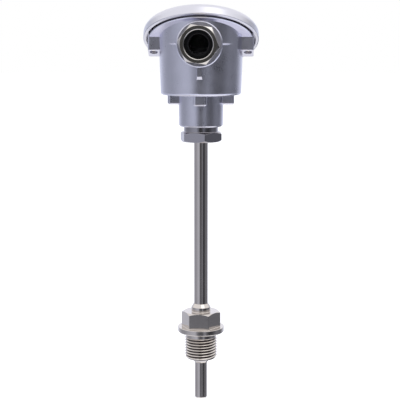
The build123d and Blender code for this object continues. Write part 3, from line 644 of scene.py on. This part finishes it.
def shaded_turned_steel():
    """Turned stainless steel, darkened as painted shade for the dark reflections on the nipple."""
    values = TURNED | {"roughness": 0.20}
    return finish("stainless_painted_shade", "shaded_steel", streak_group(), values, bump=0.000002)


def drawn_steel():
    """Drawn stainless steel tube, with lines along it."""
    values = {"stretch": ALONG_Z, "lines": 2600.0, "roughness": 0.13, "spread": 0.10, "tone": 0.14}
    return finish("stainless_drawn", "steel", streak_group(), values, bump=0.000003)


def plated_brass():
    """Nickel plated brass, turned about the axis of the gland."""
    values = {"stretch": ROUND_Y, "lines": 4200.0, "roughness": 0.16, "spread": 0.10, "tone": 0.08}
    return finish("nickel_plated", "plating", streak_group(), values, bump=0.000002)


def black_rubber():
    """Black rubber."""
    values = {"grains": 3000.0, "patches": 150.0, "roughness": 0.62, "spread": 0.15, "tone": 0.3}
    shading = {"metallic": 0.0, "gloss": 0.15}
    return finish("rubber_black", "rubber", grain_group(), values, bump=0.00001, **shading)


def black_plastic():
    """Black moulded plastic."""
    values = {"grains": 2200.0, "patches": 150.0, "roughness": 0.5, "spread": 0.1, "tone": 0.2}
    shading = {"metallic": 0.0, "gloss": 0.08}
    return finish("plastic_black", "plastic", grain_group(), values, bump=0.000005, **shading)


def white_ceramic():
    """Glazed ceramic."""
    values = {"grains": 900.0, "patches": 90.0, "roughness": 0.30, "spread": 0.12, "tone": 0.10}
    values["patch height"] = 1.0
    shading = {"metallic": 0.0, "coat": 0.5}
    return finish("ceramic_white", "ceramic", grain_group(), values, bump=0.000012, **shading)


def plain_brass():
    """Plain brass."""
    values = {"stretch": ALONG_Z, "lines": 3000.0, "roughness": 0.26, "spread": 0.15, "tone": 0.15}
    return finish("brass_plain", "brass", streak_group(), values, bump=0.000003)


def zinc_plating():
    """Zinc plated steel."""
    values = {"grains": 2500.0, "patches": 260.0, "roughness": 0.30, "spread": 0.16, "tone": 0.14}
    return finish("zinc_plated", "zinc", grain_group(), values, bump=0.000004)


def spring_wire():
    """Spring wire."""
    values = WIRE | {"roughness": 0.28}
    return finish("spring_wire", "spring", streak_group(), values, bump=0.000002)


def nickel_lead():
    """Nickel lead."""
    values = WIRE | {"roughness": 0.25}
    return finish("nickel_lead", "lead", streak_group(), values, bump=0.000002)


def dress(material, *names):
    """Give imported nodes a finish."""
    for name in names:
        for slot in NODES[name].material_slots:
            slot.material = material


# Tones round the room, each at its turn in degrees to the right of the camera.
WALL = (
    (-180, 1.0), (-150, 0.84), (-130, 0.52), (-112, 0.36), (-88, 0.33), (-65, 0.43), (-45, 0.50),
    (-27, 0.52), (-20, 0.32), (-12, 0.15), (2, 0.10), (12, 0.13), (21, 0.30), (30, 0.12), (42, 0.05),
    (62, 0.06), (88, 0.20), (109, 0.15), (122, 0.22), (140, 0.58), (155, 0.90), (180, 1.0),
)
LOW_WALL = (
    (-180, 0.25), (-165, 0.55), (-110, 0.62), (-40, 0.90), (60, 1.0), (110, 1.0), (140, 0.08),
    (172, 0.05), (180, 0.25),
)
GROUND = ((-180, 1.0), (-145, 1.0), (-115, 0.6), (-65, 0.6), (-30, 0.95), (0, 1.0), (180, 1.0))
WALL_TINT = (0.93, 0.97, 1.14)
GROUND_TINT = (1.0, 1.0, 1.05)
CEILING_COLOUR = (0.91, 0.91, 0.95)
CAMERA_SIDE_COLOUR = (0.045, 0.045, 0.045)
BACKDROP_COLOUR = (1.0, 1.0, 1.0)
# Sines of a direction's rise between which each layer takes over from the wall.
LOW_WALL_RISE = (-0.36, -0.46)
GROUND_RISE = (-0.68, -0.76)
CEILING_RISE = (0.11, 0.46)
# Cosines of the angle from the camera's side between which the dark patch sets in.
CAMERA_SIDE_REACH = (0.970, 0.990)
# Light that the floor gives off towards the camera alone, so that it shows white.
FLOOR_GLOW = 0.4


class SENSOR_OT_stage(Operator):
    """Add the floor, the light and the camera"""

    bl_idname = "sensor.stage"
    bl_label = "Stage"

    def execute(self, context):
        settings = context.scene.sensor_stage
        self.make_camera(context, settings)
        self.make_floor(settings)
        self.make_world(context)
        self.make_lamp(settings)
        context.scene.view_settings.view_transform = "Standard"
        return {"FINISHED"}

    def make_camera(self, context, settings):
        camera = bpy.data.cameras.new("camera")
        camera.lens = settings.lens
        camera.sensor_width = 36.0
        camera.clip_start = 0.01
        camera.clip_end = 50.0
        holder = add_object("camera", camera)
        holder.location = settings.camera_place
        holder.rotation_euler = (radians(90) - settings.camera_pitch, 0.0, settings.camera_turn)
        context.scene.camera = holder

    def make_lamp(self, settings):
        lamp = bpy.data.lights.new("soft_lamp", "AREA")
        lamp.energy = settings.lamp_power
        lamp.shape = "DISK"
        lamp.size = settings.lamp_size
        holder = add_object("soft_lamp", lamp)
        holder.location = settings.lamp_place
        holder.rotation_euler = (settings.lamp_tilt, 0.0, settings.lamp_turn)

    def make_floor(self, settings):
        """Make a round white floor under the part, which no surface mirrors."""
        around = round_angles(64)[:-1]
        level = CAD_BOX[0][2]
        ring = np.stack([np.cos(around), np.sin(around), np.zeros_like(around)], axis=-1)
        corners = ring * settings.floor_radius + (0.0, 0.0, level)
        mesh = bpy.data.meshes.new("floor")
        mesh.from_pydata(corners.tolist(), [], [list(range(len(corners)))])
        material, tree, shader = start_material("floor")
        camera_ray = tree.nodes.new("ShaderNodeLightPath").outputs["Is Camera Ray"]
        feed(shader, {
            "Base Color": (*settings.floor_colour, 1.0),
            "Roughness": 0.9,
            "Specular IOR Level": 0.0,
            "Emission Color": (1.0, 1.0, 1.0, 1.0),
            "Emission Strength": add_math(tree, "MULTIPLY", camera_ray, FLOOR_GLOW),
        })
        mesh.materials.append(material)
        floor = add_object("floor", mesh)
        floor.visible_glossy = False

    def make_world(self, context):
        """Make a white room with a grey wall round it, brighter on the left than on the right.

        The tones depend on the direction's turn about the vertical. The wall gives way to the
        ceiling above, to a low wall near the ground and to the ground below, and has a dark patch
        where the camera stands.
        """
        world = bpy.data.worlds.new("room")
        world.use_nodes = True
        context.scene.world = world
        tree = world.node_tree
        direction = tree.nodes.new("ShaderNodeTexCoord").outputs["Generated"]
        parts = add_node(tree, "ShaderNodeSeparateXYZ", {0: direction}).outputs
        towards = add_math(tree, "MULTIPLY", parts["Y"], -1.0)
        turn = add_math(tree, "ARCTAN2", parts["X"], towards)
        share = add_math(tree, "MULTIPLY_ADD", turn, 1 / (2 * pi), 0.5)
        rise = parts["Z"]
        camera_ray = tree.nodes.new("ShaderNodeLightPath").outputs["Is Camera Ray"]
        layers = (
            (add_step(tree, rise, *LOW_WALL_RISE), self.add_ramp(tree, share, LOW_WALL, WALL_TINT)),
            (add_step(tree, rise, *GROUND_RISE), self.add_ramp(tree, share, GROUND, GROUND_TINT)),
            (add_step(tree, rise, *CEILING_RISE), (*CEILING_COLOUR, 1.0)),
            (add_step(tree, towards, *CAMERA_SIDE_REACH), (*CAMERA_SIDE_COLOUR, 1.0)),
            (camera_ray, (*BACKDROP_COLOUR, 1.0)),
        )
        tone = self.add_ramp(tree, share, WALL, WALL_TINT)
        for amount, layer in layers:
            mix = add_node(tree, "ShaderNodeMix", {0: amount, 6: tone, 7: layer}, data_type="RGBA")
            tone = mix.outputs[2]
        feed(tree.nodes["Background"], {"Color": tone})

    def add_ramp(self, tree, share, stops, tint):
        """Add a ramp of tinted tones, where share is the turn as a part of a full one."""
        ramp = add_node(tree, "ShaderNodeValToRGB", {"Fac": share})
        elements = ramp.color_ramp.elements
        elements[1].position = 1.0
        for degrees, _ in stops[1:-1]:
            elements.new(degrees / 360 + 0.5)
        for element, (_, tone) in zip(elements, stops):
            element.color = (*[tone * part for part in tint], 1.0)
        return ramp.outputs["Color"]


class SENSOR_OT_castings(Operator):
    """Finish the cast head and its cover, and round the mould seam"""

    bl_idname = "sensor.castings"
    bl_label = "Castings"

    def execute(self, context):
        dress(cast_aluminium(), "head_body")
        dress(lit_cover_aluminium(), "head_cover")
        dress(black_rubber(), "cover_gasket")
        scene = context.scene
        beads = [self.bead(scene.sensor_seam, scene.sensor_gland.level, side) for side in (1, -1)]
        make_piece("head_seam", beads, "head_body", cast_aluminium(), in_place=False)
        return {"FINISHED"}

    def bead(self, size, middle, side, rings=25, segments=16):
        """Return a bead round the bowl on one side of the gland.

        Its section is an ellipse, which shrinks towards the far end with the root of (1 - t^3).
        """
        t = np.linspace(0.0, 1.0, rings)
        turn = side * (size.start + size.reach * t)[:, None]
        around = round_angles(segments)[:-1]
        share = np.sqrt(1 - t**3)[:, None]
        radius = size.wall_radius + size.proud * share * np.cos(around)
        level = middle + size.half_height * share * np.sin(around)
        return np.stack([radius * np.sin(turn), -radius * np.cos(turn), level], axis=-1)


class SENSOR_OT_fitting(Operator):
    """Add the process fitting with its pipe thread"""

    bl_idname = "sensor.fitting"
    bl_label = "Process fitting"

    def execute(self, context):
        size = context.scene.sensor_fitting
        angles = hexagon_angles(size.hex_turn)
        thread_radius = size.thread_diameter / 2
        end_radius = thread_radius - size.thread_chamfer
        relief = size.relief_diameter / 2
        collar = size.collar_diameter / 2
        spigot = size.spigot_diameter / 2
        stop = size.stop_height / 2
        hex_top = size.collar_thickness + size.hex_height
        spigot_top = hex_top + size.spigot_height
        end = -size.thread_length
        # The hexagon stands on the collar, so only its upper face is chamfered.
        upper = hexagon_corners(size, angles, size.collar_thickness, hex_top)[2:]
        # The weld seam bulges: this corner is most of the way out and over halfway down.
        bulge = size.stem_bore * 0.3 + size.lower_weld_radius * 0.7
        bulge_level = end - size.lower_weld_height * 0.6
        corners = [
            (size.stem_bore, end - size.lower_weld_height, 0.0001),
            (bulge, bulge_level, 0.0006),
            (size.lower_weld_radius, end, 0.0002),
            (end_radius, end, 0.0001),
            (relief, -size.relief_width, 0.0001),
            (relief, 0.0, 0.0004),
            (collar - size.collar_chamfer, 0.0, 0.00015),
            (collar, size.collar_chamfer, 0.00015),
            (collar, size.collar_thickness, 0.0003),
            (upper[0][0], size.collar_thickness, 0.00025),
            *upper,
            (spigot, hex_top, 0.0003),
            (spigot, spigot_top, 0.00025),
            (size.neck_bore, spigot_top + size.upper_weld_height, 0.0001),
            (size.neck_bore, stop, 0.0),
            (size.stop_radius, stop, 0.0),
            (size.stop_radius, -stop, 0.0),
            (size.stem_bore, -stop, 0.0),
        ]
        points = threaded(
            corners, angles, 3, thread_radius, size.thread_depth, size.thread_pitch,
            end, -size.relief_width, end_radius, relief,
        )
        piece = make_piece("process_fitting_turned", [points], "process_fitting", turned_steel())
        # The depth under the crests paints shade into the thread's roots.
        mark_grooves(piece, thread_radius, size.thread_depth, end, -size.relief_width)
        return {"FINISHED"}


class SENSOR_OT_nipple(Operator):
    """Add the neck nipple with its hexagon, groove and thread"""

    bl_idname = "sensor.nipple"
    bl_label = "Neck nipple"

    def execute(self, context):
        size = context.scene.sensor_nipple
        angles = hexagon_angles(size.hex_turn)
        top = size.hex_bottom + size.hex_height
        thread_start = top + size.groove_height
        thread_end = thread_start + size.thread_length
        groove = size.groove_diameter / 2
        thread_radius = size.thread_diameter / 2
        end_radius = thread_radius - size.thread_depth
        corners = [
            (size.bore, size.hex_bottom, 0.0002),
            *hexagon_corners(size, angles, size.hex_bottom, top),
            (groove, top, 0.0004),
            (groove, thread_start, 0.0001),
            (end_radius, thread_end, 0.0001),
            (size.bore, thread_end, 0.0002),
        ]
        points = threaded(
            corners, angles, 6, thread_radius, size.thread_depth, size.thread_pitch,
            thread_start, thread_end, groove, end_radius, per_turn=8,
        )
        make_piece("neck_nipple_turned", [points], "neck_nipple", shaded_turned_steel())
        return {"FINISHED"}


class SENSOR_OT_tubes(Operator):
    """Finish the neck tube, the stem and the sheath of the insert"""

    bl_idname = "sensor.tubes"
    bl_label = "Tubes"

    def execute(self, context):
        dress(drawn_steel(), "neck_tube", "protection_tube", "insert_sheath")
        return {"FINISHED"}


class SENSOR_OT_gland(Operator):
    """Add the cable gland: its body and its nut, and finish its seal and rings"""

    bl_idname = "sensor.gland"
    bl_label = "Cable gland"

    def execute(self, context):
        size = context.scene.sensor_gland
        base = plane((0.0, 0.0, size.level), (0, -1, 0))
        self.make_body(size, base)
        self.make_nut(size, base)
        dress(black_rubber(), "gland_seal", "gland_washer")
        dress(black_plastic(), "gland_thrust_ring")
        return {"FINISHED"}

    def make_body(self, size, base):
        angles = hexagon_angles(size.hex_turn)
        hex_end = size.body_seat + size.body_hex_height
        front = hex_end + size.front_length
        shank_radius = size.shank_diameter / 2
        groove = shank_radius - size.shank_depth
        corners = [
            (size.bore, size.body_start, 0.0003),
            (groove, size.body_start, 0.0001),
            (groove, size.body_seat, 0.0001),
            *hexagon_corners(size, angles, size.body_seat, hex_end),
            (size.front_radius, hex_end, 0.0001),
            (size.front_radius, front, 0.0003),
            (size.pocket_radius, front, 0.0002),
            (size.pocket_radius, front - size.pocket_depth, 0.0),
            (size.bore, front - size.pocket_depth, 0.0001),
        ]
        points = threaded(
            corners, angles, 1, shank_radius, size.shank_depth, size.shank_pitch,
            size.body_start, size.body_seat, groove, groove, per_turn=8,
        )
        make_piece("gland_body_turned", [place(points, base)], "gland_body", plated_brass())

    def make_nut(self, size, base):
        angles = hexagon_angles(size.hex_turn)
        start = size.body_seat + size.body_hex_height + size.nut_gap
        end = start + size.nut_height
        corners = [
            (size.nut_bore, start, 0.0002),
            *hexagon_corners(size, angles, start, end),
            (size.mouth_radius, end, size.mouth_edge),
            (size.mouth_radius, end - size.mouth_depth, 0.0),
            (size.nut_bore, end - size.mouth_depth, 0.0),
        ]
        points = place(turned(outline(corners, angles), angles), base)
        make_piece("gland_nut_turned", [points], "gland_nut", plated_brass())


# Sizes of each kind of screw. The reach is the length of the shank under the head.
M4 = {"radius": 0.002, "pitch": 0.0007, "segments": 32}
M3 = {"radius": 0.0015, "pitch": 0.0005, "segments": 24}
COVER_SCREW = M4 | {
    "reach": 0.0126, "thread_length": 0.009, "head_radius": 0.0035, "head_height": 0.0024
}
INSERT_SCREW = M4 | {
    "reach": 0.02454, "thread_length": 0.0095, "head_radius": 0.0038, "head_height": 0.0026
}
TERMINAL_SCREW = M3 | {
    "reach": 0.00285, "thread_length": 0.0028, "head_radius": 0.0026, "head_height": 0.0018
}
EARTH_SCREW = M4 | {
    "reach": 0.0048, "thread_length": 0.0045, "head_radius": 0.0033, "head_height": 0.0024
}


class SENSOR_OT_screws(Operator):
    """Add the slotted screws with their threads"""

    bl_idname = "sensor.screws"
    bl_label = "Screws"

    def execute(self, context):
        size = context.scene.sensor_screws
        slant = np.array([0.0, sin(size.slant), cos(size.slant)])
        for side_name, side in (("left", -1), ("right", 1)):
            seat = (side * size.cover_offset, 0.0, size.rim_level) + size.cover_rise * slant
            name = f"cover_screw_{side_name}"
            base = plane(seat, slant)
            self.make(name, base, drawn_steel(), slot_degrees=35 * side, **COVER_SCREW)
            name = f"insert_screw_{side_name}"
            base = plane((side * size.insert_offset, 0.0, size.insert_level), (0, 0, 1))
            self.make(name, base, zinc_plating(), slot_degrees=-20 * side, **INSERT_SCREW)
        for number, (x, y) in enumerate(((1, 1), (-1, 1), (-1, -1), (1, -1)), 1):
            base = plane((x * size.terminal_x, y * size.terminal_y, size.terminal_level), (0, 0, 1))
            name = f"terminal_screw_{number}"
            self.make(name, base, plain_brass(), slot_degrees=25 * number, **TERMINAL_SCREW)
        x = size.earth_distance * cos(size.earth_angle)
        y = size.earth_distance * sin(size.earth_angle)
        base = plane((x, y, size.earth_level), (0, 0, 1))
        self.make("earth_screw", base, zinc_plating(), slot_degrees=60, **EARTH_SCREW)
        return {"FINISHED"}

    def make(
        self, name, base, material, slot_degrees,
        radius, pitch, segments, reach, thread_length, head_radius, head_height,
    ):
        """Make a screw: a turned shank with a thread and the lower part of the head, and two lobes."""
        size = bpy.context.scene.sensor_screws
        angles = round_angles(segments)
        depth = SCREW_THREAD_DEPTH * pitch
        groove = radius - depth
        low = head_height * (1 - size.slot_share)
        thread_top = -reach + thread_length
        corners = [
            (0.0, -reach, 0.0),
            (groove, -reach, 0.0),
            (groove, thread_top, 0.0),
            (radius, thread_top + depth, 0.0),
            (radius, 0.0, 0.0),
            (head_radius - size.edge, 0.0, 0.0),
            (head_radius, size.edge, 0.0),
            (head_radius, low, 0.0),
            (0.0, low, 0.0),
        ]
        shank = threaded(
            corners, angles, 1, radius, depth, pitch, -reach, thread_top, groove, groove, per_turn=6
        )
        turn = radians(slot_degrees)
        spin = np.array([[cos(turn), sin(turn), 0], [-sin(turn), cos(turn), 0], [0, 0, 1]])
        half_slot = size.slot_width / 2
        halves = [lobe(head_radius, half_slot, low, head_height, size.edge, side) for side in (1, -1)]
        grids = [place(points, base) for points in (shank, *[half @ spin for half in halves])]
        make_piece(f"{name}_slotted", grids, name, material)


class SENSOR_OT_springs(Operator):
    """Add the two springs of the measuring insert"""

    bl_idname = "sensor.springs"
    bl_label = "Springs"

    def execute(self, context):
        size = context.scene.sensor_springs
        offset = context.scene.sensor_screws.insert_offset
        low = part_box("insert_spring_left")[0].z
        for side_name, side in (("left", -1), ("right", 1)):
            base = plane((side * offset, 0.0, low), (0, 0, 1))
            points = place(self.coil(size), base)
            name = f"insert_spring_{side_name}"
            piece = make_piece(f"{name}_coil", [points], name, spring_wire())
            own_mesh(piece)
        return {"FINISHED"}

    def coil(self, size, steps=28, segments=10, flat_turns=0.75, ease=0.12):
        """Return a round wire carried along a coil whose end turns lie flat.

        The middle of the wire is at (R cos a, R sin a, h), where a grows evenly and h is held for
        the flat turns at each end. In between, the share ease of h follows r^2 (3 - 2 r).
        """
        t = np.linspace(0, 1, int(size.turns * steps) + 1)
        flat = flat_turns / size.turns
        rise = np.clip((t - flat) / (1 - 2 * flat), 0, 1)
        rise = ease * rise**2 * (3 - 2 * rise) + (1 - ease) * rise
        height = size.wire_radius + (size.height - 2 * size.wire_radius) * rise
        # The first and the last ring have no thickness and close the ends.
        thick = np.pad(np.full_like(t, size.wire_radius), 1)[:, None]
        turn = np.pad(2 * pi * size.turns * t, 1, mode="edge")[:, None]
        height = np.pad(height, 1, mode="edge")[:, None]
        around = round_angles(segments)[:-1]
        radius = size.coil_radius + thick * np.cos(around)
        level = height + thick * np.sin(around)
        return np.stack([radius * np.cos(turn), radius * np.sin(turn), level], axis=-1)


class SENSOR_OT_insert(Operator):
    """Finish the plate, the terminal block, the terminals and the leads"""

    bl_idname = "sensor.insert"
    bl_label = "Measuring insert"

    def execute(self, context):
        dress(drawn_steel(), "insert_plate")
        dress(zinc_plating(), "earth_washer")
        dress(plain_brass(), "block_rivets")
        dress(white_ceramic(), "terminal_block", "insulating_core", "sensing_element")
        dress(plain_brass(), *[f"terminal_{number}" for number in range(1, 5)])
        dress(nickel_lead(), *[f"lead_wire_{number}" for number in range(1, 5)])
        return {"FINISHED"}


class SENSOR_PT_pieces(Panel):
    """Buttons for every piece of the sensor and for its stage"""

    bl_idname = "SENSOR_PT_pieces"
    bl_label = "Temperature sensor"
    bl_space_type = "VIEW_3D"
    bl_region_type = "UI"
    bl_category = "Sensor"

    def draw(self, context):
        column = self.layout.column()
        for operator in OPERATORS:
            column.operator(operator.bl_idname)
        for group in GROUPS:
            settings = getattr(context.scene, group)
            box = self.layout.box()
            for key in settings.bl_rna.properties.keys():
                if key not in ("rna_type", "name"):
                    box.prop(settings, key)


GROUPS = {
    "sensor_stage": StageSettings,
    "sensor_colours": FinishColours,
    "sensor_seam": SeamSizes,
    "sensor_fitting": FittingSizes,
    "sensor_nipple": NippleSizes,
    "sensor_gland": GlandSizes,
    "sensor_screws": ScrewSizes,
    "sensor_springs": SpringSizes,
}
OPERATORS = (
    SENSOR_OT_stage,
    SENSOR_OT_castings,
    SENSOR_OT_fitting,
    SENSOR_OT_nipple,
    SENSOR_OT_tubes,
    SENSOR_OT_gland,
    SENSOR_OT_screws,
    SENSOR_OT_springs,
    SENSOR_OT_insert,
)


def register():
    """Register the classes and hang the settings on the scene."""
    for group in GROUPS.values():
        bpy.utils.register_class(group)
    for operator in OPERATORS:
        bpy.utils.register_class(operator)
    bpy.utils.register_class(SENSOR_PT_pieces)
    for name, group in GROUPS.items():
        setattr(bpy.types.Scene, name, PointerProperty(type=group))


def unregister():
    """Take the settings off the scene and unregister the classes."""
    for name in GROUPS:
        delattr(bpy.types.Scene, name)
    bpy.utils.unregister_class(SENSOR_PT_pieces)
    for operator in reversed(OPERATORS):
        bpy.utils.unregister_class(operator)
    for group in reversed(GROUPS.values()):
        bpy.utils.unregister_class(group)


def main():
    """Add every piece, the finishes and the stage."""
    register()
    bpy.ops.sensor.stage()
    bpy.ops.sensor.castings()
    bpy.ops.sensor.fitting()
    bpy.ops.sensor.nipple()
    bpy.ops.sensor.tubes()
    bpy.ops.sensor.gland()
    bpy.ops.sensor.screws()
    bpy.ops.sensor.springs()
    bpy.ops.sensor.insert()


if __name__ == "__main__":
    main()
